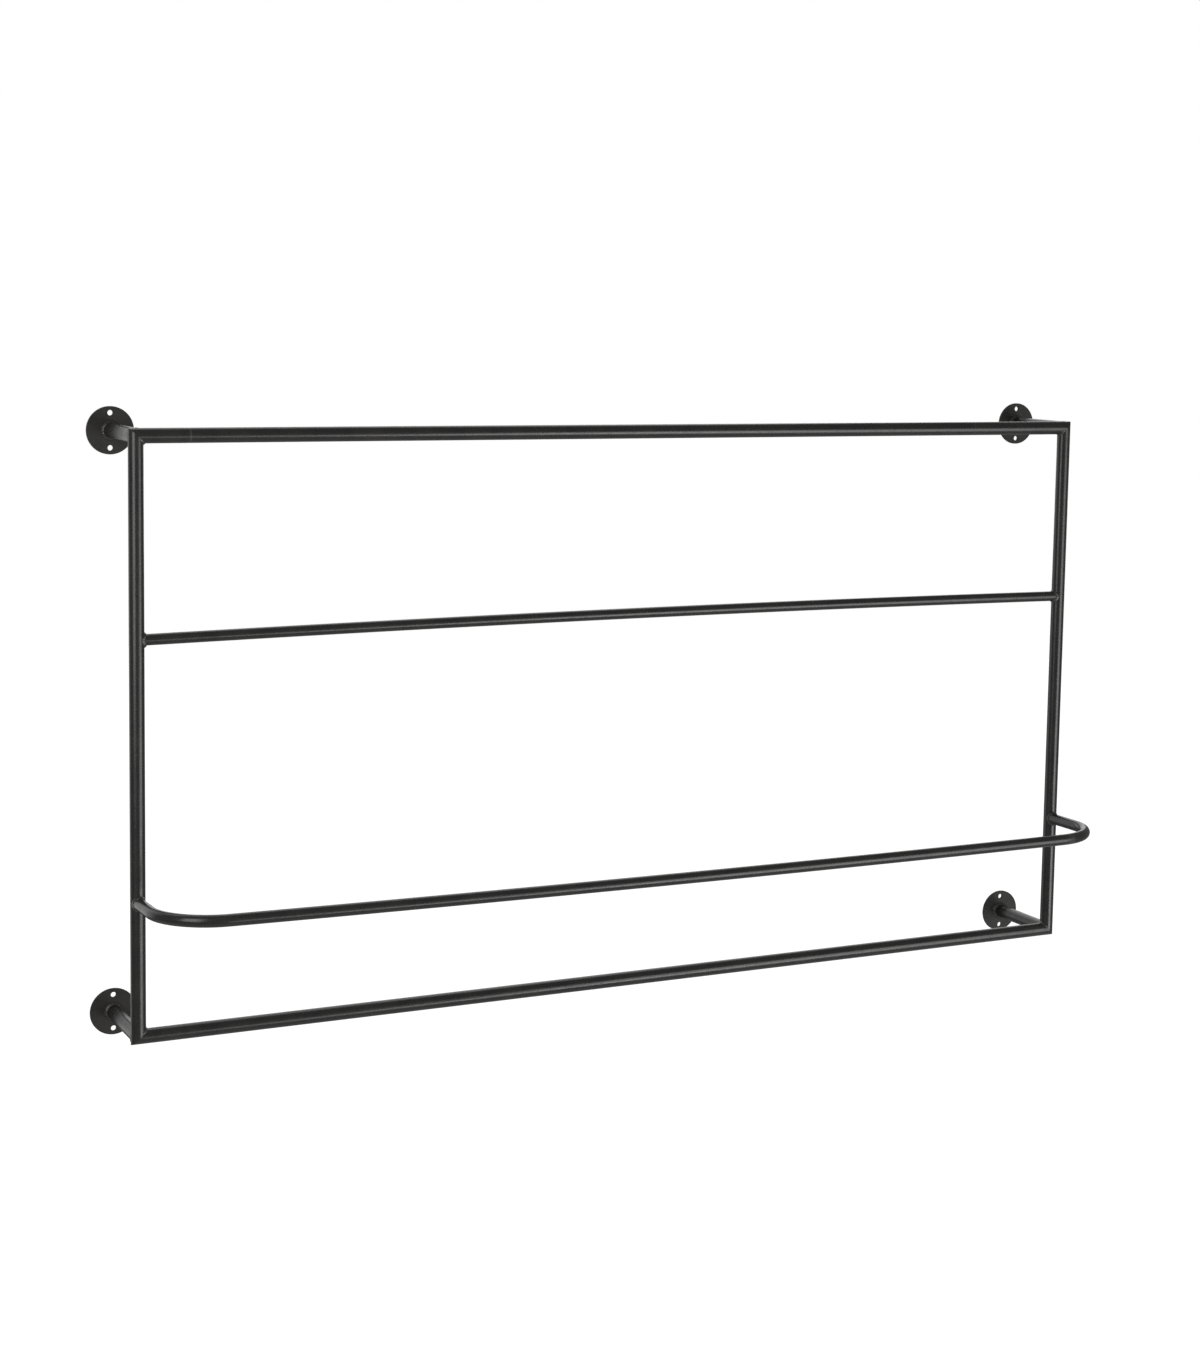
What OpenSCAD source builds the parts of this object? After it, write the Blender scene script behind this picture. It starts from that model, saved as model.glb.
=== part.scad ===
// Wall rack of welded round tube: a mitred frame held off the wall by four
// standoffs, with one thin crossbar and one bent rail across the front.
//
// Millimetres. X runs along the rack, +Z is up, and the wall is the plane y = 0
// with the rack in front of it on the -Y side. The origin is on the wall, midway
// between the four flanges.

/* [Frame] */
// Width over the outside of the frame
frame_w = 1200; // [900:10:1500]
// Height over the outside of the frame
frame_h = 660; // [560:10:900]
// Outside diameter of the frame's tube and of the standoffs
tube_d = 16; // [15:1:20]
// Wall thickness of every tube
tube_wall = 1.2; // [1:0.1:2]

/* [Crossbar] */
// Height of the crossbar above the middle of the frame
crossbar_z = 108; // [60:1:180]
// Outside diameter of the crossbar
crossbar_d = 12; // [10:0.5:13]

/* [Front rail] */
// Height of the front rail, below the middle of the frame when negative
rail_z = -175; // [-220:1:-120]
// Outside diameter of the front rail
rail_d = 13; // [11:0.5:14]
// How far the front rail's centreline stands in front of the frame's centreline
rail_reach = 117; // [90:1:160]
// Centreline radius of the front rail's two bends
rail_bend_r = 65; // [40:1:75]

/* [Wall fixing] */
// Distance from the wall to the frame's centreline
wall_gap = 106; // [60:1:150]
// Diameter of each flange
flange_d = 52; // [50:1:60]
// Thickness of each flange
flange_t = 3; // [2:0.5:4]
// Edge break on the front of each flange
flange_edge = 0.5; // [0.2:0.1:0.8]
// Distance between the two screw holes in one flange
hole_pitch = 38; // [36:1:42]
// Diameter of each screw hole
hole_d = 6; // [4:0.5:7]

/* [Welds] */
// Height of the weld bead up the foot of each standoff
foot_weld_h = 3.2; // [2:0.1:4]
// Width of the weld bead across each flange
foot_weld_w = 3.4; // [2:0.1:4]
// How thick the beads at the ends of the bars are
bar_weld_t = 2.4; // [1.5:0.1:3]
// How far those beads run along the bars
bar_weld_run = 3.2; // [2:0.1:4]
// How thick the beads between standoff and frame are
corner_weld_t = 1.4; // [1:0.1:2]

/* [Hidden] */
$fn = 96;

tr = tube_d / 2;
br = crossbar_d / 2;
rr = rail_d / 2;
xc = frame_w / 2 - tr;      // centreline of each upright, either side of x = 0
zc = frame_h / 2 - tr;      // centreline of the top and bottom rails, either side of z = 0
yf = -wall_gap;             // the frame's centre plane
yr = yf - rail_reach;       // centreline of the front rail's straight run
xb = xc - rail_bend_r;      // where the straight run ends and a bend begins
yb = yr + rail_bend_r;      // where a bend ends and a leg begins

black = [0.17, 0.17, 0.165];
weld_black = [0.22, 0.215, 0.2];

// ---- shapes that repeat -----------------------------------------------------

// Hollow round tube along Z, centred on the origin.
module pipe(r, len, t = tube_wall) {
    difference() {
        cylinder(r = r, h = len, center = true);
        cylinder(r = r - t, h = len + 2, center = true);
    }
}

// Prism that keeps what lies between two 45 degree mitre planes. The planes meet
// the X axis at +-span/2, and the long side of the prism is towards +Z.
module mitre_block(span, e) {
    rotate([90, 0, 0])
        linear_extrude(height = 3 * e, center = true)
            polygon([
                [-span / 2 - e, e], [span / 2 + e, e],
                [span / 2 - e, -e], [-span / 2 + e, -e]
            ]);
}

// One side of the frame along X, mitred at both ends, with its outside edge up.
// span is the distance between the centres of the two corners.
module frame_tube(span) {
    intersection() {
        rotate([0, 90, 0]) pipe(tr, span + 4 * tr);
        mitre_block(span, 2 * tr);
    }
}

// The same, filled in and of any radius: used to cut other pieces to fit.
module frame_bar(span, r) {
    intersection() {
        rotate([0, 90, 0]) cylinder(r = r, h = span + 6 * tr, center = true);
        mitre_block(span, 2.5 * tr);
    }
}

// The filled-in shape of the frame's corner at the top right, in place.
module corner_bars(r) {
    translate([0, yf, zc]) frame_bar(2 * xc, r);
    translate([xc, yf, 0]) rotate([0, 90, 0]) frame_bar(2 * zc, r);
}

// A filled-in upright, in place at the right.
module upright_bar(r) {
    translate([xc, yf, 0]) cylinder(r = r, h = 2 * zc - 4 * tr, center = true);
}

// Puts what is drawn for the top right corner at any corner.
module corner(left = false, bottom = false) {
    mirror([left ? 1 : 0, 0, 0]) mirror([0, 0, bottom ? 1 : 0]) children();
}

// Standoff tube at the top right, coped to the mitred corner it backs.
module standoff_shape() {
    difference() {
        translate([xc, yf / 2 - flange_t / 2, zc])
            rotate([90, 0, 0]) pipe(tr, wall_gap - flange_t);
        corner_bars(tr);
    }
}

// Flange disc at the top right, its back on the wall, with two screw holes.
module flange_shape() {
    difference() {
        translate([xc, 0, zc]) rotate([90, 0, 0]) rotate_extrude()
            polygon([
                [0, 0], [flange_d / 2, 0],
                [flange_d / 2, flange_t - flange_edge],
                [flange_d / 2 - flange_edge, flange_t], [0, flange_t]
            ]);
        for (s = [-1, 1])
            translate([xc, -flange_t / 2, zc + s * hole_pitch / 2])
                rotate([90, 0, 0]) cylinder(d = hole_d, h = flange_t + 2, center = true);
    }
}

// Bead in the inside crease of the mitred corner at the top right.
module mitre_weld_shape() {
    difference() {
        translate([xc - 0.81 * tr, yf, zc - 0.81 * tr]) sphere(r = 0.69 * tr);
        translate([xc, yf, zc]) cylinder(r = tr, h = 6 * tr, center = true);
        translate([xc, yf, zc]) rotate([0, 90, 0]) cylinder(r = tr, h = 6 * tr, center = true);
    }
}

// Bead that follows the saddle between the right upright and a bar of radius r.
// The bar's axis is turned to X by default.
module saddle_weld(r, thick, run, from, to) {
    intersection() {
        difference() {
            translate([0, 0, from]) cylinder(r = r + thick, h = to - from);
            translate([0, 0, from - 1]) cylinder(r = r, h = to - from + 2);
        }
        rotate([90, 0, 0]) pipe(tr + run, 6 * tr, run);
    }
}

// Bead between the standoff and the corner at the top right.
module standoff_weld_shape() {
    difference() {
        intersection() {
            translate([xc, yf + 0.7 * tr, zc])
                rotate([90, 0, 0]) pipe(tr + corner_weld_t, 1.2 * tr, corner_weld_t);
            union() corner_bars(tr + 2.6);
        }
        corner_bars(tr);
    }
}

// Bead round the foot of the standoff at the top right.
module flange_weld_shape() {
    translate([xc, -flange_t, zc]) rotate([90, 0, 0]) rotate_extrude()
        polygon([[tr, 0], [tr + foot_weld_w, 0], [tr, foot_weld_h]]);
}

// ---- frame ------------------------------------------------------------------

module right_upright() color(black)
    translate([xc, yf, 0]) rotate([0, 90, 0]) frame_tube(2 * zc);
module left_upright() mirror([1, 0, 0]) right_upright();
module top_rail() color(black) translate([0, yf, zc]) frame_tube(2 * xc);
module bottom_rail() mirror([0, 0, 1]) top_rail();

// ---- bars -------------------------------------------------------------------

module crossbar() color(black)
    difference() {
        translate([0, yf, crossbar_z]) rotate([0, 90, 0]) pipe(br, 2 * xc);
        for (s = [0, 1]) mirror([s, 0, 0]) upright_bar(tr);
    }

// The front rail's run as a solid rod of radius r: legs, bends and straight.
module rail_rod(r, extra = 0) {
    translate([0, yr, rail_z]) rotate([0, 90, 0]) cylinder(r = r, h = 2 * xb, center = true);
    for (s = [0, 1]) mirror([s, 0, 0]) {
        translate([xb, yb, rail_z]) rotate([0, 0, -90])
            rotate_extrude(angle = 90) translate([rail_bend_r, 0]) circle(r = r);
        translate([xc, yb, rail_z]) rotate([-90, 0, 0]) cylinder(r = r, h = yf - yb + extra);
    }
}

module front_rail() color(black)
    difference() {
        rail_rod(rr);
        rail_rod(rr - tube_wall, 1);
        for (s = [0, 1]) mirror([s, 0, 0]) upright_bar(tr);
    }

// ---- wall fixing ------------------------------------------------------------

module top_right_standoff() color(black) corner() standoff_shape();
module top_left_standoff() color(black) corner(left = true) standoff_shape();
module bottom_right_standoff() color(black) corner(bottom = true) standoff_shape();
module bottom_left_standoff() color(black) corner(left = true, bottom = true) standoff_shape();

module top_right_flange() color(black) corner() flange_shape();
module top_left_flange() color(black) corner(left = true) flange_shape();
module bottom_right_flange() color(black) corner(bottom = true) flange_shape();
module bottom_left_flange() color(black) corner(left = true, bottom = true) flange_shape();

// ---- welds ------------------------------------------------------------------

module top_right_mitre_weld() color(weld_black) corner() mitre_weld_shape();
module top_left_mitre_weld() color(weld_black) corner(left = true) mitre_weld_shape();
module bottom_right_mitre_weld() color(weld_black) corner(bottom = true) mitre_weld_shape();
module bottom_left_mitre_weld() color(weld_black) corner(left = true, bottom = true) mitre_weld_shape();

module crossbar_right_weld() color(weld_black)
    translate([xc, yf, crossbar_z]) rotate([0, -90, 0]) 
        saddle_weld(br, bar_weld_t, bar_weld_run, 0.45 * tr, 1.6 * tr);
module crossbar_left_weld() mirror([1, 0, 0]) crossbar_right_weld();

module front_rail_right_weld() color(weld_black)
    translate([xc, yf, rail_z]) rotate([90, 0, 0]) rotate([0, 0, 90])
        saddle_weld(rr, bar_weld_t, bar_weld_run, 0.35 * tr, 1.6 * tr);
module front_rail_left_weld() mirror([1, 0, 0]) front_rail_right_weld();

module top_right_standoff_weld() color(weld_black) corner() standoff_weld_shape();
module top_left_standoff_weld() color(weld_black) corner(left = true) standoff_weld_shape();
module bottom_right_standoff_weld() color(weld_black) corner(bottom = true) standoff_weld_shape();
module bottom_left_standoff_weld() color(weld_black) corner(left = true, bottom = true) standoff_weld_shape();

module top_right_flange_weld() color(weld_black) corner() flange_weld_shape();
module top_left_flange_weld() color(weld_black) corner(left = true) flange_weld_shape();
module bottom_right_flange_weld() color(weld_black) corner(bottom = true) flange_weld_shape();
module bottom_left_flange_weld() color(weld_black) corner(left = true, bottom = true) flange_weld_shape();

// ---- one line per node --------------------------------------------------------

left_upright();
right_upright();
top_rail();
bottom_rail();
crossbar();
front_rail();
top_left_standoff();
top_right_standoff();
bottom_left_standoff();
bottom_right_standoff();
top_left_flange();
top_right_flange();
bottom_left_flange();
bottom_right_flange();
top_left_mitre_weld();
top_right_mitre_weld();
bottom_left_mitre_weld();
bottom_right_mitre_weld();
crossbar_left_weld();
crossbar_right_weld();
front_rail_left_weld();
front_rail_right_weld();
top_left_standoff_weld();
top_right_standoff_weld();
bottom_left_standoff_weld();
bottom_right_standoff_weld();
top_left_flange_weld();
top_right_flange_weld();
bottom_left_flange_weld();
bottom_right_flange_weld();
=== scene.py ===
import math

import bpy
import numpy as np
from mathutils import Matrix, Vector, noise
from mathutils.geometry import delaunay_2d_cdt


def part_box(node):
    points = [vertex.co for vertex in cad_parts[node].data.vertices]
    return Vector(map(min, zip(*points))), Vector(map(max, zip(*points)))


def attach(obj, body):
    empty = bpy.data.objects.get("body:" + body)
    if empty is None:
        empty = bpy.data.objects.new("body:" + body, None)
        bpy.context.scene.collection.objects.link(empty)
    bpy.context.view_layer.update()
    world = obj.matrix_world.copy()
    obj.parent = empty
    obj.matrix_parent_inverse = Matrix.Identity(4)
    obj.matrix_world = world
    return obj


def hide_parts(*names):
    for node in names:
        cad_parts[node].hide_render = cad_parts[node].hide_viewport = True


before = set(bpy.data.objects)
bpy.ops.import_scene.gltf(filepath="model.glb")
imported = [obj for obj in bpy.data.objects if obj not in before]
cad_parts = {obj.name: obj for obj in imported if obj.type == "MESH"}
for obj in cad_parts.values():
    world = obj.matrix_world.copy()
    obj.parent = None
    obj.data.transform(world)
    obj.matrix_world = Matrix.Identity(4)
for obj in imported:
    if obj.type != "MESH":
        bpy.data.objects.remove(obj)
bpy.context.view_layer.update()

MM = 0.001
ROUND = 64                      # points round a tube

# ---------------------------------------------------------------- where things are
_lo, _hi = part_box("right_upright")
XC = (_lo.x + _hi.x) / 2        # upright centreline
YF = (_lo.y + _hi.y) / 2        # frame's centre plane
TR = (_hi.x - _lo.x) / 2        # frame tube radius
_lo, _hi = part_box("top_rail")
ZC = (_lo.z + _hi.z) / 2        # top rail centreline
_lo, _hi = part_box("crossbar")
ZB = (_lo.z + _hi.z) / 2        # crossbar height at its ends
BR = (_hi.z - _lo.z) / 2        # crossbar radius
_lo, _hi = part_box("front_rail")
ZR = (_lo.z + _hi.z) / 2        # front rail height
RR = (_hi.z - _lo.z) / 2        # front rail radius
YR = _lo.y + RR                 # front rail centreline
_lo, _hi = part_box("top_right_flange")
FR = (_hi.x - _lo.x) / 2        # flange radius
FT = _hi.y - _lo.y              # flange thickness
WALL = 1.2 * MM
BEND = 65 * MM                  # centreline radius of the front rail's bends
PITCH = 38 * MM                 # screw holes, one above the other
HOLE = 3 * MM
COAT = 0.15 * MM                # the finish, over the bare metal
TR, BR, RR, FR = TR + COAT, BR + COAT, RR + COAT, FR + COAT


# the loose-ended bars are not quite level: the crossbar rises in the middle, the front rail sags
def crossbar_z(x):
    u = x / (XC - TR)
    return (-1.3 * (1 - u) / 2 + 1.0 * (1 + u) / 2 + 3.55 * (1 - u * u)) * MM


def rail_z(x, y):
    u = max(-1.0, min(1.0, x / XC))
    ahead = max(0.0, min(1.0, (YF - TR - y) / (YF - TR - YR)))
    front = 2.4 * (1 - u) / 2 - 1.2 * (1 + u) / 2 - 2.7 * (1 - u * u)
    foot = -0.8 * (1 - u) / 2 - 2.2 * (1 + u) / 2
    return (foot + (front - foot) * ahead) * MM


# ---------------------------------------------------------------- camera
def make_camera():
    cam = bpy.data.objects.new("camera", bpy.data.cameras.new("camera"))
    bpy.context.scene.collection.objects.link(cam)
    yaw, pitch, roll = (math.radians(v) for v in (26.9305, -6.1995, 1.0371))
    fwd = Vector((math.sin(yaw) * math.cos(pitch), math.cos(yaw) * math.cos(pitch), math.sin(pitch)))
    right = Vector((math.cos(yaw), -math.sin(yaw), 0))
    up = right.cross(fwd)
    r2 = right * math.cos(roll) + up * math.sin(roll)
    u2 = up * math.cos(roll) - right * math.sin(roll)
    m = Matrix((r2, u2, -fwd)).transposed().to_4x4()
    m.translation = Vector((-1.27592, -2.65421, 0.47181))
    cam.matrix_world = m
    cam.data.sensor_width = 36
    cam.data.lens = 2475.53 * 36 / 1372
    cam.data.shift_x = -0.04011
    cam.data.shift_y = -0.08483
    cam.data.clip_start, cam.data.clip_end = 0.05, 100
    bpy.context.scene.camera = cam


make_camera()


# ---------------------------------------------------------------- mesh helpers
def fresh(name, verts, faces, rest=None, sharp=38, wear=None):
    me = bpy.data.meshes.new(name)
    me.from_pydata([tuple(map(float, v)) for v in verts], [], faces)
    me.validate()
    me.update()
    if rest is not None:
        a = me.attributes.new("rest_co", "FLOAT_VECTOR", "POINT")
        a.data.foreach_set("vector", np.asarray(rest, np.float32).ravel())
    a = me.attributes.new("wear", "FLOAT", "POINT")
    a.data.foreach_set("value", np.zeros(len(me.vertices), np.float32) if wear is None else np.asarray(wear, np.float32))
    me.shade_smooth()
    me.set_sharp_from_angle(angle=math.radians(sharp))
    ob = bpy.data.objects.new(name, me)
    bpy.context.scene.collection.objects.link(ob)
    return ob


def ring_solid(name, rings, rests, sharp=38, wear=None):
    """Closed solid from a loop of closed rings, each with the same number of points."""
    n, m = len(rings), len(rings[0])
    verts = np.concatenate([np.asarray(r, float) for r in rings])
    rest = np.concatenate([np.asarray(r, float) for r in rests])
    faces = []
    for i in range(n):
        k = (i + 1) % n
        for j in range(m):
            l = (j + 1) % m
            faces.append((i * m + j, i * m + l, k * m + l, k * m + j))
    ob = fresh(name, verts, faces, rest, sharp, wear)
    return ob


def outward(ob):
    """Turns the faces outwards."""
    import bmesh
    bm = bmesh.new()
    bm.from_mesh(ob.data)
    bmesh.ops.recalc_face_normals(bm, faces=bm.faces)
    if bm.calc_volume(signed=True) < 0:
        bmesh.ops.reverse_faces(bm, faces=bm.faces)
    bm.to_mesh(ob.data)
    bm.free()
    ob.data.update()
    return ob


ANG = np.arange(ROUND) * 2 * math.pi / ROUND


def straight(name, centre, axis, e1, e2, r, start, end, lean=None, step=9 * MM, marks=()):
    """A straight (or slightly leaning) hollow tube. start and end give how far along the axis each end lies at a point of the section.
    marks: (place along it, strength) of rubbed rings."""
    axis, e1, e2, centre = (np.array(v, float) for v in (axis, e1, e2, centre))
    shells = []
    for rad in (r, r - WALL):
        d1, d2 = rad * np.cos(ANG), rad * np.sin(ANG)
        a0, a1 = start(d1, d2), end(d1, d2)
        s0, s1 = a0.max() + 2.5 * MM, a1.min() - 2.5 * MM
        n = max(2, int(round((s1 - s0) / step)))
        mid = [(s, 0.0) for s in np.linspace(s0, s1, n + 1) if all(abs(s - c) > 1.5 * MM for c, _ in marks)]
        for c, k in marks:
            mid += [(c - 1.3 * MM, 0.0), (c - 0.55 * MM, k), (c + 0.55 * MM, k), (c + 1.3 * MM, 0.0)]
        lines = [(a0 + (s0 - a0) * t, 0.0) for t in (0, 0.12, 0.4, 0.7)]
        lines += [(np.full(ROUND, s), w) for s, w in sorted(mid)]
        lines += [(s1 + (a1 - s1) * t, 0.0) for t in (0.3, 0.6, 0.88, 1)]
        shell = []
        for s, w in lines:
            p = centre + np.outer(s, axis) + np.outer(d1, e1) + np.outer(d2, e2)
            if lean is not None:
                p = p + lean(s)
            shell.append((p, np.c_[d1, d2, s], w))
        shells.append(shell)
    loop = shells[0] + shells[1][::-1]
    wear = np.repeat([w for *_, w in loop], ROUND)
    return outward(ring_solid(name, [a for a, _, _ in loop], [b for _, b, _ in loop], wear=wear))


# ---------------------------------------------------------------- the frame's tubes
X, Y, Z = (1, 0, 0), (0, 1, 0), (0, 0, 1)
pieces = {}

for name, sz in (("top_rail", 1), ("bottom_rail", -1)):
    pieces[name] = straight(
        name + "_tube", (0, YF, sz * ZC), X, (0, 0, sz), Y, TR,
        lambda d1, d2: -XC - d1, lambda d1, d2: XC + d1,
        marks=((-535 * MM, 1.7), (453 * MM, 1.1)) if sz > 0 else (),
    )
for name, sx in (("right_upright", 1), ("left_upright", -1)):
    pieces[name] = straight(
        name + "_tube", (sx * XC, YF, 0), Z, (sx, 0, 0), Y, TR,
        lambda d1, d2: -ZC - d1, lambda d1, d2: ZC + d1,
    )


def saddle(d):
    """How far in front of an upright's centreline its surface lies, at a sideways offset d."""
    return np.sqrt(np.maximum(TR * TR - d * d, 0))


# crossbar: along X, coped into both uprights
def bow(s):
    return np.outer([crossbar_z(x) for x in s], (0, 0, 1))


pieces["crossbar"] = straight(
    "crossbar_tube", (0, YF, ZB), X, Z, Y, BR,
    lambda d1, d2: -XC + saddle(d2), lambda d1, d2: XC - saddle(d2), lean=bow,
)


# front rail: legs coped onto the uprights, two bends, one long straight
def front_rail():
    shells = []
    for rad, shift in ((RR, 0), (RR - WALL, 0)):
        lines = []  # centre, side vector, squeeze, s
        xb, yb = XC - BEND, YR + BEND
        s = 0.0
        path = []
        leg = np.linspace(YF - TR - 2.0 * MM, yb, 7)
        for y in leg:
            path.append(((-XC, y), (0, -1), 0.0))
        n = 34
        for k in range(1, n):
            a = k / n * math.pi / 2
            path.append(((-xb - BEND * math.cos(a), yb - BEND * math.sin(a)), (math.sin(a), -math.cos(a)), math.sin(2 * a)))
        for x in np.linspace(-xb, xb, 116):
            path.append(((x, YR), (1, 0), 0.0))
        for k in range(n - 1, 0, -1):
            a = k / n * math.pi / 2
            path.append(((xb + BEND * math.cos(a), yb - BEND * math.sin(a)), (math.sin(a), math.cos(a)), math.sin(2 * a)))
        for y in leg[::-1]:
            path.append(((XC, y), (0, 1), 0.0))
        shell = []
        prev = None
        for (x, y), (tx, ty), bend in path:
            if prev is not None:
                s += math.hypot(x - prev[0], y - prev[1])
            prev = (x, y)
            side = np.array((-ty, tx, 0.0))                # across the rail, in its plane
            flat = 1 - 0.022 * max(bend, 0) ** 0.7 if bend > 0 else 1.0
            tall = 1 + 0.012 * max(bend, 0) ** 0.7 if bend > 0 else 1.0
            d1, d2 = rad * np.cos(ANG), rad * np.sin(ANG)
            p = np.array((x, y, ZR + rail_z(x, y))) + np.outer(d1 * flat, side) + np.outer(d2 * tall, (0, 0, 1))
            shell.append((p, np.c_[d1, d2, np.full(ROUND, s)]))
        # the coped ends
        for end, sx in ((0, -1), (-1, 1)):
            p, rest = shell[end]
            q = p.copy()
            q[:, 1] = YF - saddle(p[:, 0] - sx * XC)
            more = []
            for t in (0.0, 0.3, 0.65):
                more.append((q + (p - q) * t, rest + np.c_[np.zeros(ROUND), np.zeros(ROUND), (1 - t) * 3 * MM * (1 if sx > 0 else -1) * np.ones(ROUND)]))
            if end == 0:
                shell = more + shell
            else:
                shell = shell + more[::-1]
        shells.append(shell)
    loop = shells[0] + shells[1][::-1]
    where = np.concatenate([a for a, _ in loop])
    rub = np.exp(-((where[:, 0] - 537 * MM) / (9 * MM)) ** 2) * (where[:, 1] < YR + 25 * MM)
    return outward(ring_solid("front_rail_tube", [a for a, _ in loop], [b for _, b in loop], wear=1.35 * rub))


pieces["front_rail"] = front_rail()


# ---------------------------------------------------------------- standoffs
def corner_height(dx, dz, sx, sz, r=TR):
    """How far behind the frame's centre plane the mitred corner's surface lies, over a point beside the corner's centre."""
    ox, oz = sx * dx, sz * dz
    return np.where(oz < ox, np.sqrt(np.maximum(r * r - dx * dx, 0)), np.sqrt(np.maximum(r * r - dz * dz, 0)))


CORNERS = {"top_left": (-1, 1), "top_right": (1, 1), "bottom_left": (-1, -1), "bottom_right": (1, -1)}
for key, (sx, sz) in CORNERS.items():
    pieces[key + "_standoff"] = straight(
        key + "_standoff_tube", (sx * XC, 0, sz * ZC), (0, -1, 0), X, Z, TR,
        lambda d1, d2: np.full(len(d1), FT),
        lambda d1, d2, sx=sx, sz=sz: -YF - corner_height(d1, d2, sx, sz),
        step=6 * MM,
    )


# ---------------------------------------------------------------- flanges
def flange(key, sx, sz, seed):
    cx, cz = sx * XC, sz * ZC
    edge, lip = 0.7 * MM, 0.35 * MM
    holes = [(0.0, PITCH / 2), (0.0, -PITCH / 2)]
    pts, loops = [], []

    def loop(px, pz, r, n):
        first = len(pts)
        for k in range(n):
            a = 2 * math.pi * k / n
            pts.append(Vector((px + r * math.cos(a), pz + r * math.sin(a))))
        loops.append(list(range(first, first + n)))

    loop(0, 0, FR - edge, 112)
    for hx, hz in holes:
        loop(hx, hz, HOLE + lip, 40)
    for r, n in ((23.8, 90), (22, 84), (20, 76), (17.6, 68), (15.2, 60), (12.8, 52), (10.6, 44), (8.2, 36), (5.5, 24), (2.5, 10)):
        for k in range(n):
            a = 2 * math.pi * (k + 0.5 * (n % 3)) / n
            q = Vector((r * MM * math.cos(a), r * MM * math.sin(a)))
            if min((q - Vector(h)).length for h in holes) > HOLE + lip + 0.8 * MM:
                pts.append(q)
    for h in holes:
        for k in range(40):
            a = 2 * math.pi * (k + 0.5) / 40
            q = Vector(h) + Vector((math.cos(a), math.sin(a))) * (HOLE + lip + 0.55 * MM)
            pts.append(q)
    edges = [(l[k], l[(k + 1) % len(l)]) for l in loops for k in range(len(l))]
    out, _, tris, *_ = delaunay_2d_cdt(pts, edges, [], 0, 1e-9)
    assert len(out) == len(pts)
    flat = []
    for t in tris:
        c = (out[t[0]] + out[t[1]] + out[t[2]]) / 3
        if any((c - Vector(h)).length < HOLE + lip - 1e-5 for h in holes) or c.length > FR - edge:
            continue
        flat.append(tuple(t))
    n = len(out)
    verts, rest, wear = [], [], []

    def put(u, v, y, w=0.0):
        verts.append((cx + u, y, cz + v))
        rest.append((u + 3.1 * sx + 0.17 * seed, y, v + 1.7 * sz))
        wear.append(w)
        return len(verts) - 1

    for p in out:
        r = p.length
        ripple = 0.035 * MM * noise.noise(Vector((p.x * 90 + seed * 5, p.y * 90, seed)))
        fade = min(1, max(0, (FR - edge - r) / (2 * MM)))
        put(p.x, p.y, -FT + ripple * fade, 0.0)
    for p in out:
        put(p.x, p.y, 0.0)
    faces = [t for t in flat] + [(n + a, n + c, n + b) for a, b, c in flat]

    def wall(lp, prof, hx, hz):
        """Rings from the front loop to the back loop. prof gives (radius, y, wear)."""
        prev = lp
        m = len(lp)
        for r, y, w in prof:
            ring = []
            for k in range(m):
                a = 2 * math.pi * k / m
                ring.append(put(hx + r * math.cos(a), hz + r * math.sin(a), y, w))
            for k in range(m):
                l = (k + 1) % m
                faces.append((prev[k], prev[l], ring[l], ring[k]))
            prev = ring
        back = [n + k for k in lp]
        for k in range(m):
            l = (k + 1) % m
            faces.append((prev[k], prev[l], back[l], back[k]))

    prof = [(FR - edge + edge * math.sin(a), -FT + edge - edge * math.cos(a), 1.0) for a in (0.35, 0.75, 1.15, math.pi / 2)]
    prof += [(FR, -FT * 0.45, 0.5), (FR, -0.5 * MM, 0.6), (FR - 0.25 * MM, -0.12 * MM, 0.8)]
    # the back loop sits at the same radius as the front one
    wall(loops[0], prof, 0, 0)
    for l, (hx, hz) in zip(loops[1:], holes):
        prof = [(HOLE + lip - lip * math.sin(a), -FT + lip - lip * math.cos(a), 1.0) for a in (0.4, 0.9, math.pi / 2)]
        prof += [(HOLE, -FT * 0.4, 0.3), (HOLE, -0.25 * MM, 0.4)]
        wall(l, prof, hx, hz)
    ob = fresh(key + "_flange_plate", verts, faces, rest, 32, wear)
    # painted shade: a mask that fades out from the standoff's foot, standing in for the shade the standoff casts round
    # its base on the plate
    centre = np.array((cx, 0, cz))
    far = np.linalg.norm((np.array(verts) - centre)[:, (0, 2)], axis=1)
    a = ob.data.attributes.new("heat", "FLOAT", "POINT")
    a.data.foreach_set("value", (2.2 * np.exp(-((far / (15 * MM)) ** 2))).astype(np.float32))
    return outward(ob)


for i, (key, (sx, sz)) in enumerate(CORNERS.items()):
    pieces[key + "_flange"] = flange(key, sx, sz, i + 1)


# ---------------------------------------------------------------- weld beads
def smooth(a, k, closed=True):
    """Running mean along a path."""
    a = np.asarray(a, float)
    n = len(a)
    out = np.zeros_like(a)
    for o in range(-k, k + 1):
        idx = (np.arange(n) + o) % n if closed else np.clip(np.arange(n) + o, 0, n - 1)
        out += a[idx]
    return out / (2 * k + 1)


def unit(v):
    v = np.asarray(v, float)
    return v / np.maximum(np.linalg.norm(v, axis=-1, keepdims=True), 1e-12)


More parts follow.
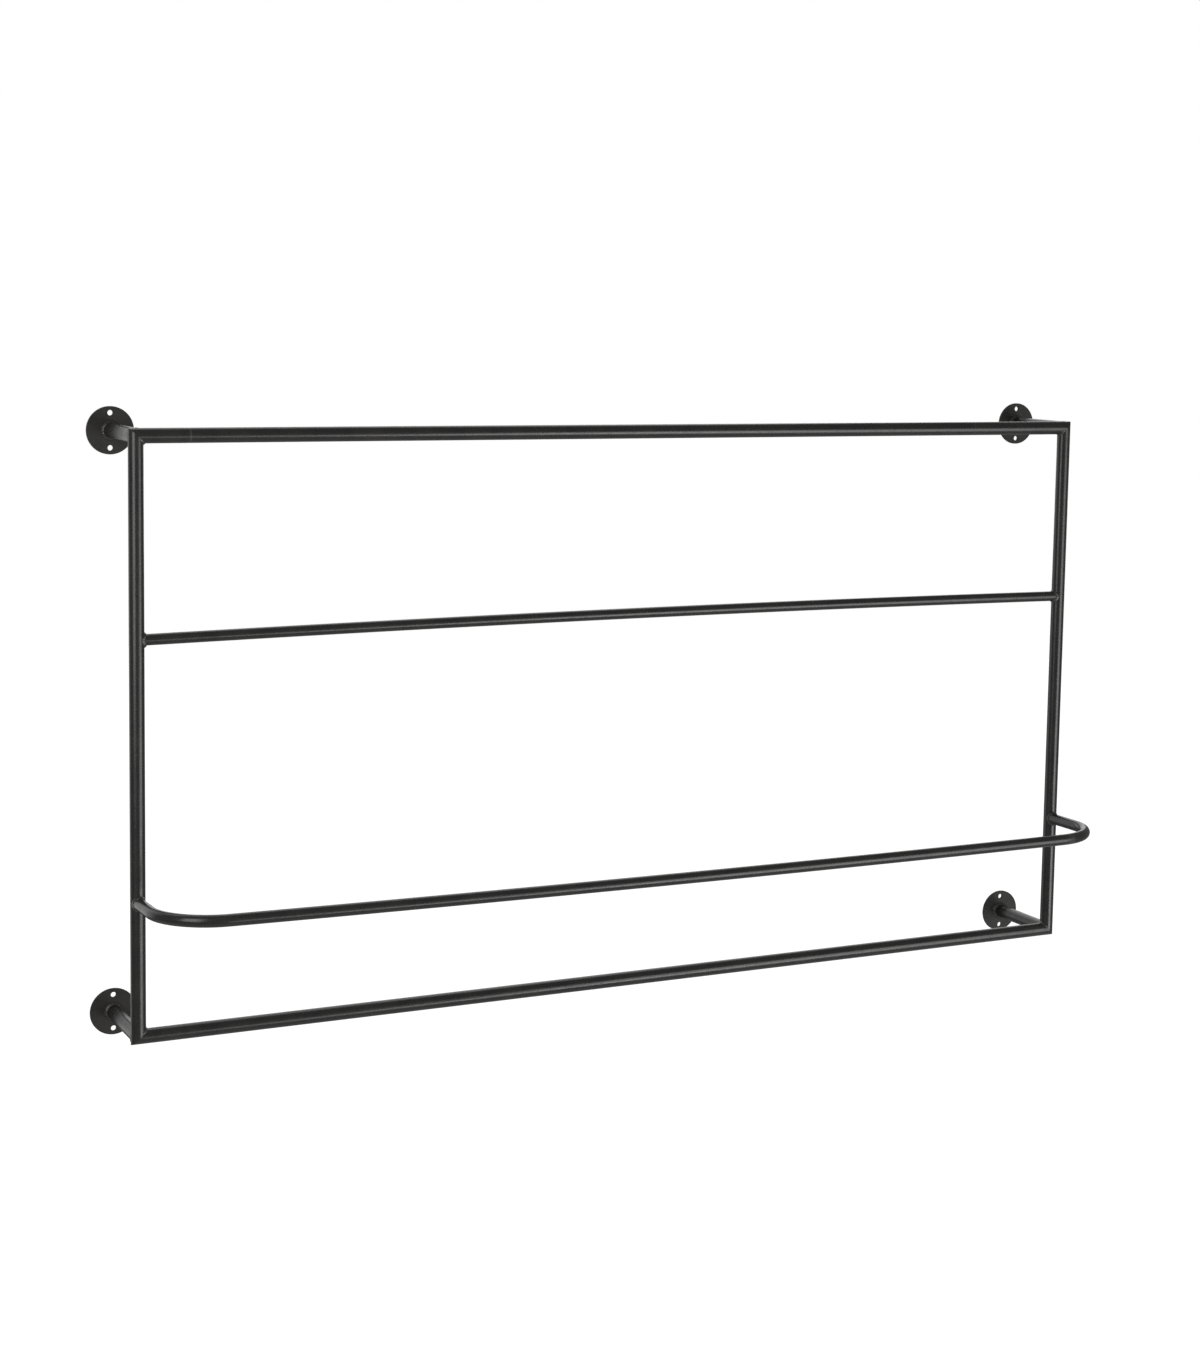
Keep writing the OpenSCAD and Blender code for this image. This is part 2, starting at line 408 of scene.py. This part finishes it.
def bead(name, path, n1, n2, away, w1, w2, bulge, seed, on1, on2, closed=True, pitch=2.1 * MM, taper=None):
    """A weld bead along a path where two surfaces meet.
    n1, n2: the surfaces' outward normals along it. away: the way along surface 1 that leaves surface 2.
    on1, on2: move a point onto a surface. w1, w2: leg lengths on each. bulge: how far its face stands out."""
    path, n1, n2 = np.asarray(path, float), unit(n1), unit(n2)
    n = len(path)
    if closed:
        tan = unit(np.roll(path, -1, 0) - np.roll(path, 1, 0))
        seg = np.linalg.norm(np.roll(path, -1, 0) - path, axis=1)
    else:
        tan = unit(np.gradient(path, axis=0))
        seg = np.r_[np.linalg.norm(np.diff(path, axis=0), axis=1), 0]
    s = np.r_[0, np.cumsum(seg)[:-1]]
    total = seg.sum()
    d1 = unit(np.cross(tan, n1))
    sign = np.sign((d1 @ np.asarray(away, float)).sum())
    d1 = d1 * sign
    d2 = -sign * unit(np.cross(tan, n2))
    mid = unit(n1 + n2)

    def wob(size, k):
        """Smooth noise that closes on itself."""
        a = s / total * 2 * math.pi
        rad = total / (2 * math.pi) * size
        if closed:
            return np.array([noise.noise(Vector((math.cos(x) * rad, math.sin(x) * rad, seed * 3.7 + k))) for x in a])
        return np.array([noise.noise(Vector((x * size, k * 1.3, seed * 3.7 + k))) for x in s])

    if taper is None:
        taper = np.ones(n)
    a1 = w1 * (1 + 0.20 * wob(260, 1) + 0.12 * wob(900, 2)) * taper
    a2 = w2 * (1 + 0.20 * wob(240, 3) + 0.12 * wob(850, 4)) * taper
    count = max(1, round(total / pitch))
    phase = s / total * count + 0.35 * wob(200, 5)
    M = 10
    rings, rests, wear = [], [], []
    sink = 0.22 * MM
    toe1 = on1(path + d1 * a1[:, None], -sink)
    toe2 = on2(path + d2 * a2[:, None], -sink)
    high = bulge * (1 + 0.3 * wob(300, 6)) * taper
    deep = 0.7 * MM
    for i in range(n):
        ring, rst, wr = [], [], []
        for k in range(M):
            t = k / (M - 1)
            lift = math.sin(math.pi * t) ** 0.75
            v = (2 * t - 1)
            ph = (phase[i] + 0.30 * v * v) % 1.0
            tooth = (ph ** 0.8) * (1 - ph) ** 0.35 * 1.55 - 0.55   # steep on one side, like overlapping scales
            p = toe1[i] * (1 - t) + toe2[i] * t
            p = p + mid[i] * (high[i] * lift + 0.20 * MM * tooth * lift * taper[i])
            ring.append(p)
            rst.append((s[i], t * (a1[i] + a2[i]), 0.3 * seed))
            wr.append(0.5 + 0.5 * lift)
        ring.append(toe2[i] - mid[i] * deep * taper[i])
        ring.append(path[i] - mid[i] * (deep + 0.3 * MM) * taper[i])
        ring.append(toe1[i] - mid[i] * deep * taper[i])
        rst += [(s[i], 0, 0.3 * seed)] * 3
        wr += [0.4] * 3
        rings.append(np.array(ring))
        rests.append(np.array(rst))
        wear += wr
    m = M + 3
    verts = np.concatenate(rings)
    rest = np.concatenate(rests)
    faces = []
    last = n if closed else n - 1
    for i in range(last):
        k = (i + 1) % n
        for j in range(m):
            l = (j + 1) % m
            faces.append((i * m + j, i * m + l, k * m + l, k * m + j))
    if not closed:
        faces.append(tuple(range(m))[::-1])
        faces.append(tuple((n - 1) * m + j for j in range(m)))
    return outward(fresh(name, verts, faces, rest, 60, wear))


def on_cylinder(point, axis, r):
    """Moves points onto a cylinder through point along axis."""
    point, axis = np.array(point, float), np.array(axis, float)

    def move(p, lift):
        d = p - point
        along = np.outer(d @ axis, axis)
        return point + along + unit(d - along) * (r + lift)
    return move


def on_plane_y(y0, side):
    def move(p, lift):
        q = p.copy()
        q[:, 1] = y0 + side * lift
        return q
    return move


def on_corner(sx, sz):
    """Moves points onto the mitred corner's outside."""
    up = on_cylinder((sx * XC, YF, 0), Z, TR)
    ra = on_cylinder((0, YF, sz * ZC), X, TR)

    def move(p, lift):
        ox, oz = sx * (p[:, 0] - sx * XC), sz * (p[:, 2] - sz * ZC)
        w = np.clip(0.5 + (ox - oz) / (1.6 * MM), 0, 1)[:, None]
        return up(p, lift) * w + ra(p, lift) * (1 - w)
    return move


for i, (key, (sx, sz)) in enumerate(CORNERS.items()):
    c = np.array((sx * XC, 0, sz * ZC))
    shaft = on_cylinder(c, Y, TR)
    # round the standoff's foot, on the flange
    th = np.linspace(0, 2 * math.pi, 180, endpoint=False)
    rad = np.c_[np.cos(th), np.zeros(len(th)), np.sin(th)]
    path = c + rad * TR + np.array((0, -FT, 0))
    pieces[key + "_flange_weld"] = bead(
        key + "_flange_bead", path, rad, np.tile((0, -1.0, 0), (len(th), 1)), (0, -1, 0),
        3.0 * MM, 3.0 * MM, 0.42 * MM, 11 + i, shaft, on_plane_y(-FT, -1))
    # where it meets the frame's corner
    th = np.linspace(0, 2 * math.pi, 240, endpoint=False)
    dx, dz = TR * np.cos(th), TR * np.sin(th)
    h = corner_height(dx, dz, sx, sz)
    path = np.c_[sx * XC + dx, YF + h, sz * ZC + dz]
    path = smooth(path, 2)
    onup = (sz * dz < sx * dx)[:, None]
    n2 = np.where(onup, np.c_[dx, h, 0 * h], np.c_[0 * h, h, dz])
    n2 = smooth(unit(n2 + 1e-9), 7)
    pieces[key + "_standoff_weld"] = bead(
        key + "_standoff_bead", path, np.c_[dx, 0 * dx, dz], n2, (0, 1, 0),
        2.4 * MM, 2.1 * MM, 0.55 * MM, 31 + i, shaft, on_corner(sx, sz))
    # in the frame's inside corner
    ph = np.linspace(-1.42, 1.42, 70)
    off = -TR * np.cos(ph)
    path = np.c_[sx * XC + sx * off, YF + TR * np.sin(ph), sz * ZC + sz * off]
    nr = np.c_[0 * ph, np.sin(ph), sz * -np.cos(ph)]      # the rail's side
    nu = np.c_[sx * -np.cos(ph), np.sin(ph), 0 * ph]      # the upright's side
    tp = np.clip(np.cos(ph / 1.42 * math.pi / 2), 0.03, 1) ** 0.6
    pieces[key + "_mitre_weld"] = bead(
        key + "_mitre_bead", path, nr, nu, (-sx, 0, 0),
        2.1 * MM, 2.1 * MM, 0.05 * MM, 51 + i,
        on_cylinder((0, YF, sz * ZC), X, TR), on_cylinder((sx * XC, YF, 0), Z, TR),
        closed=False, taper=tp)

for i, (side, sx) in enumerate((("left", -1), ("right", 1))):
    upright = on_cylinder((sx * XC, YF, 0), Z, TR)
    th = np.linspace(0, 2 * math.pi, 150, endpoint=False)
    dy, dz = BR * np.cos(th), BR * np.sin(th)
    g = saddle(dy)
    zb = ZB + crossbar_z(sx * (XC - TR))
    path = np.c_[sx * (XC - g), YF + dy, zb + dz]
    pieces[f"crossbar_{side}_weld"] = bead(
        f"crossbar_{side}_bead", path, np.c_[0 * dy, dy, dz], np.c_[-sx * g, dy, 0 * dy], (-sx, 0, 0),
        2.8 * MM, 2.3 * MM, 0.35 * MM, 71 + i, on_cylinder((0, YF, zb), X, BR), upright)
    dx, dz = RR * np.cos(th), RR * np.sin(th)
    g = saddle(dx)
    zr = ZR + rail_z(sx * XC, YF)
    path = np.c_[sx * XC + dx, YF - g, zr + dz]
    pieces[f"front_rail_{side}_weld"] = bead(
        f"front_rail_{side}_bead", path, np.c_[dx, 0 * dx, dz], np.c_[dx, -g, 0 * dx], (0, -1, 0),
        2.8 * MM, 2.4 * MM, 0.35 * MM, 81 + i, on_cylinder((sx * XC, 0, zr), Y, RR), upright)


# ---------------------------------------------------------------- materials
def node(nt, kind, x, y, **inputs):
    nd = nt.nodes.new(kind)
    nd.location = (x, y)
    for k, v in inputs.items():
        nd.inputs[k.replace("_", " ")].default_value = v
    return nd


def black_metal(name, tone_a, tone_b, rough, streaks=0.0, grain=1.0, mottling=1.0, gloss=0.5, worn=(0.09, 0.085, 0.075)):
    """Satin black finish over steel: cloudy tone, fine peel, faint drawing marks along the tube, paler on worn edges."""
    mat = bpy.data.materials.new(name)
    mat.use_nodes = True
    nt = mat.node_tree
    nt.nodes.clear()
    out = node(nt, "ShaderNodeOutputMaterial", 900, 0)
    bsdf = node(nt, "ShaderNodeBsdfPrincipled", 600, 0)
    bsdf.inputs["Specular IOR Level"].default_value = gloss
    bsdf.inputs["IOR"].default_value = 1.5
    nt.links.new(bsdf.outputs[0], out.inputs[0])
    co = node(nt, "ShaderNodeAttribute", -1500, 0)
    co.attribute_name = "rest_co"
    vec = co.outputs["Vector"]
    # cloudy tone
    cloud = node(nt, "ShaderNodeTexNoise", -1100, 300, Scale=26.0, Detail=3.0, Roughness=0.55)
    nt.links.new(vec, cloud.inputs["Vector"])
    mott = node(nt, "ShaderNodeTexNoise", -1100, 80, Scale=330.0, Detail=4.0, Roughness=0.65)
    nt.links.new(vec, mott.inputs["Vector"])
    both = node(nt, "ShaderNodeMath", -880, 200)
    both.operation = "MULTIPLY_ADD"
    both.inputs[1].default_value = 0.55 * mottling
    nt.links.new(mott.outputs["Fac"], both.inputs[0])
    nt.links.new(cloud.outputs["Fac"], both.inputs[2])
    ramp = node(nt, "ShaderNodeValToRGB", -680, 200)
    ramp.color_ramp.elements[0].position = 0.55
    ramp.color_ramp.elements[1].position = 0.98
    ramp.color_ramp.elements[0].color = (*tone_a, 1)
    ramp.color_ramp.elements[1].color = (*tone_b, 1)
    nt.links.new(both.outputs[0], ramp.inputs["Fac"])
    # worn edges
    wear = node(nt, "ShaderNodeAttribute", -1500, -420)
    wear.attribute_name = "wear"
    wn = node(nt, "ShaderNodeTexNoise", -1100, -420, Scale=420.0, Detail=5.0, Roughness=0.7)
    nt.links.new(vec, wn.inputs["Vector"])
    wmul = node(nt, "ShaderNodeMath", -880, -420)
    wmul.operation = "MULTIPLY"
    nt.links.new(wear.outputs["Fac"], wmul.inputs[0])
    nt.links.new(wn.outputs["Fac"], wmul.inputs[1])
    wr = node(nt, "ShaderNodeMapRange", -680, -420)
    wr.inputs["From Min"].default_value = 0.42
    wr.inputs["From Max"].default_value = 0.72
    wr.inputs["To Max"].default_value = 0.55
    nt.links.new(wmul.outputs[0], wr.inputs["Value"])
    mix = node(nt, "ShaderNodeMix", -380, 150)
    mix.data_type = "RGBA"
    nt.links.new(wr.outputs[0], mix.inputs["Factor"])
    nt.links.new(ramp.outputs[0], mix.inputs["A"])
    mix.inputs["B"].default_value = (*worn, 1)
    # painted shade: darker round the standoff's foot, standing in for the shade cast there; the mask is made cloudy by
    # the tone noise
    heat = node(nt, "ShaderNodeAttribute", -680, 480)
    heat.attribute_name = "heat"
    painted_shade_fac = node(nt, "ShaderNodeMath", -380, 420)
    painted_shade_fac.operation = "MULTIPLY"
    nt.links.new(heat.outputs["Fac"], painted_shade_fac.inputs[0])
    nt.links.new(cloud.outputs["Fac"], painted_shade_fac.inputs[1])
    dark = node(nt, "ShaderNodeMix", 60, 250)
    dark.data_type = "RGBA"
    dark.clamp_factor = True
    nt.links.new(painted_shade_fac.outputs[0], dark.inputs["Factor"])
    nt.links.new(mix.outputs["Result"], dark.inputs["A"])
    # near-black colour of the painted shade
    dark.inputs["B"].default_value = (0.0062, 0.0060, 0.0048, 1)
    nt.links.new(dark.outputs["Result"], bsdf.inputs["Base Color"])
    # sheen of the finish, uneven
    rn = node(nt, "ShaderNodeTexNoise", -1100, -160, Scale=95.0, Detail=4.0, Roughness=0.6)
    nt.links.new(vec, rn.inputs["Vector"])
    rr = node(nt, "ShaderNodeMapRange", -380, -160)
    rr.inputs["From Min"].default_value = 0.3
    rr.inputs["From Max"].default_value = 0.7
    rr.inputs["To Min"].default_value = rough - 0.05
    rr.inputs["To Max"].default_value = rough + 0.06
    nt.links.new(rn.outputs["Fac"], rr.inputs["Value"])
    nt.links.new(rr.outputs[0], bsdf.inputs["Roughness"])
    # peel and grain
    peel = node(nt, "ShaderNodeTexNoise", -1100, -680, Scale=520.0, Detail=2.0, Roughness=0.5)
    nt.links.new(vec, peel.inputs["Vector"])
    fine = node(nt, "ShaderNodeTexNoise", -1100, -880, Scale=2200.0, Detail=2.0, Roughness=0.5)
    nt.links.new(vec, fine.inputs["Vector"])
    h = node(nt, "ShaderNodeMath", -880, -760)
    h.operation = "MULTIPLY_ADD"
    h.inputs[1].default_value = 0.25
    nt.links.new(fine.outputs["Fac"], h.inputs[0])
    nt.links.new(peel.outputs["Fac"], h.inputs[2])
    height = h.outputs[0]
    if streaks:
        sc = node(nt, "ShaderNodeVectorMath", -1300, -1080)
        sc.operation = "MULTIPLY"
        sc.inputs[1].default_value = (1500, 1500, 14)
        nt.links.new(vec, sc.inputs[0])
        st = node(nt, "ShaderNodeTexNoise", -1100, -1080, Scale=1.0, Detail=2.0, Roughness=0.5)
        nt.links.new(sc.outputs[0], st.inputs["Vector"])
        h2 = node(nt, "ShaderNodeMath", -680, -860)
        h2.operation = "MULTIPLY_ADD"
        h2.inputs[1].default_value = streaks
        nt.links.new(st.outputs["Fac"], h2.inputs[0])
        nt.links.new(height, h2.inputs[2])
        height = h2.outputs[0]
    bump = node(nt, "ShaderNodeBump", 100, -500)
    bump.inputs["Strength"].default_value = 0.35 * grain
    bump.inputs["Distance"].default_value = 0.00012
    nt.links.new(height, bump.inputs["Height"])
    nt.links.new(bump.outputs[0], bsdf.inputs["Normal"])
    return mat


tube_mat = black_metal("blackened_tube", (0.0138, 0.0141, 0.0146), (0.0268, 0.0256, 0.0238), 0.27, streaks=0.8, grain=0.05)
plate_mat = black_metal("blackened_plate", (0.0105, 0.0108, 0.0114), (0.0380, 0.0372, 0.0350), 0.50, grain=1.0, mottling=2.0, gloss=0.17)
weld_mat = black_metal("blackened_weld", (0.0140, 0.0136, 0.0128), (0.0360, 0.0340, 0.0300), 0.27, grain=0.8, mottling=1.6)

for n, ob in pieces.items():
    ob.data.materials.clear()
    ob.data.materials.append(weld_mat if n.endswith("_weld") else plate_mat if n.endswith("_flange") else tube_mat)
    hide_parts(n)
    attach(ob, "root")


# ---------------------------------------------------------------- studio
scene = bpy.context.scene
scene.view_settings.view_transform = "Standard"
scene.view_settings.look = "None"
scene.view_settings.exposure = 0
scene.view_settings.gamma = 1

world = bpy.data.worlds.new("studio")
scene.world = world
world.use_nodes = True
wt = world.node_tree
wt.nodes.clear()
wout = wt.nodes.new("ShaderNodeOutputWorld")
bg_seen = wt.nodes.new("ShaderNodeBackground")
bg_seen.inputs[0].default_value = (1, 1, 1, 1)
bg_seen.inputs[1].default_value = 1.0
bg_fill = wt.nodes.new("ShaderNodeBackground")
bg_fill.inputs[0].default_value = (1, 1, 1, 1)
bg_fill.inputs[1].default_value = 0.20
lp = wt.nodes.new("ShaderNodeLightPath")
wm = wt.nodes.new("ShaderNodeMixShader")
wt.links.new(lp.outputs["Is Camera Ray"], wm.inputs[0])
wt.links.new(bg_fill.outputs[0], wm.inputs[1])
wt.links.new(bg_seen.outputs[0], wm.inputs[2])
wt.links.new(wm.outputs[0], wout.inputs[0])


def softbox(name, where, at, size, radiance, spread=180):
    """An area light of a given brightness seen in reflections."""
    data = bpy.data.lights.new(name, "AREA")
    data.shape = "RECTANGLE"
    data.size, data.size_y = size
    data.energy = radiance * size[0] * size[1] * math.pi
    data.spread = math.radians(spread)
    ob = bpy.data.objects.new(name, data)
    scene.collection.objects.link(ob)
    ob.location = where
    ob.rotation_mode = "QUATERNION"
    ob.rotation_quaternion = (Vector(at) - Vector(where)).to_track_quat("-Z", "Y")
    ob.visible_camera = False
    return ob


softbox("right_box", (1.43, -2.03, -0.52), (0.0, -0.1, -0.3), (1.4, 1.6), 3.1)
softbox("left_box", (-1.54, -1.04, 0.50), (0.0, -0.1, 0.30), (0.80, 1.4), 3.5)
softbox("far_low", (2.45, -6.0, -2.2), (0.0, -0.1, -0.2), (2.3, 1.9), 3.5)
softbox("top_back", (-0.15, 1.1, 2.0), (-0.1, -0.1, 0.2), (3.1, 1.1), 1.5)
softbox("back_right", (1.0, 1.9, 0.75), (0.4, 0.0, 0.2), (2.4, 1.7), 1.2)
softbox("back_left", (-1.45, 1.9, 0.25), (-0.4, 0.0, 0.2), (2.2, 2.6), 0.75)
softbox("floor_bounce", (0.0, -0.2, -1.5), (0.0, -0.2, 0.0), (4.4, 3.2), 0.22)


def make_floor():
    n, r = 48, 14.0
    verts = [(0.0, 0.0, -1.9)]
    faces = []
    for k, rr in enumerate((1.5, 4.0, 8.0, r)):
        for j in range(n):
            a = 2 * math.pi * j / n
            verts.append((rr * math.cos(a), rr * math.sin(a), -1.9))
    for j in range(n):
        l = (j + 1) % n
        faces.append((0, 1 + j, 1 + l))
        for k in range(3):
            faces.append((1 + k * n + j, 1 + (k + 1) * n + j, 1 + (k + 1) * n + l, 1 + k * n + l))
    me = bpy.data.meshes.new("studio_floor")
    me.from_pydata(verts, [], faces)
    ob = bpy.data.objects.new("studio_floor", me)
    scene.collection.objects.link(ob)
    mat = bpy.data.materials.new("pale_floor")
    mat.use_nodes = True
    b = mat.node_tree.nodes["Principled BSDF"]
    b.inputs["Base Color"].default_value = (0.9, 0.9, 0.895, 1)
    b.inputs["Roughness"].default_value = 0.9
    b.inputs["Specular IOR Level"].default_value = 0.0
    b.inputs["Emission Color"].default_value = (1, 1, 1, 1)
    b.inputs["Emission Strength"].default_value = 0.9
    me.materials.append(mat)
    ob.visible_diffuse = False
    ob.visible_glossy = False
    ob.visible_shadow = False


make_floor()
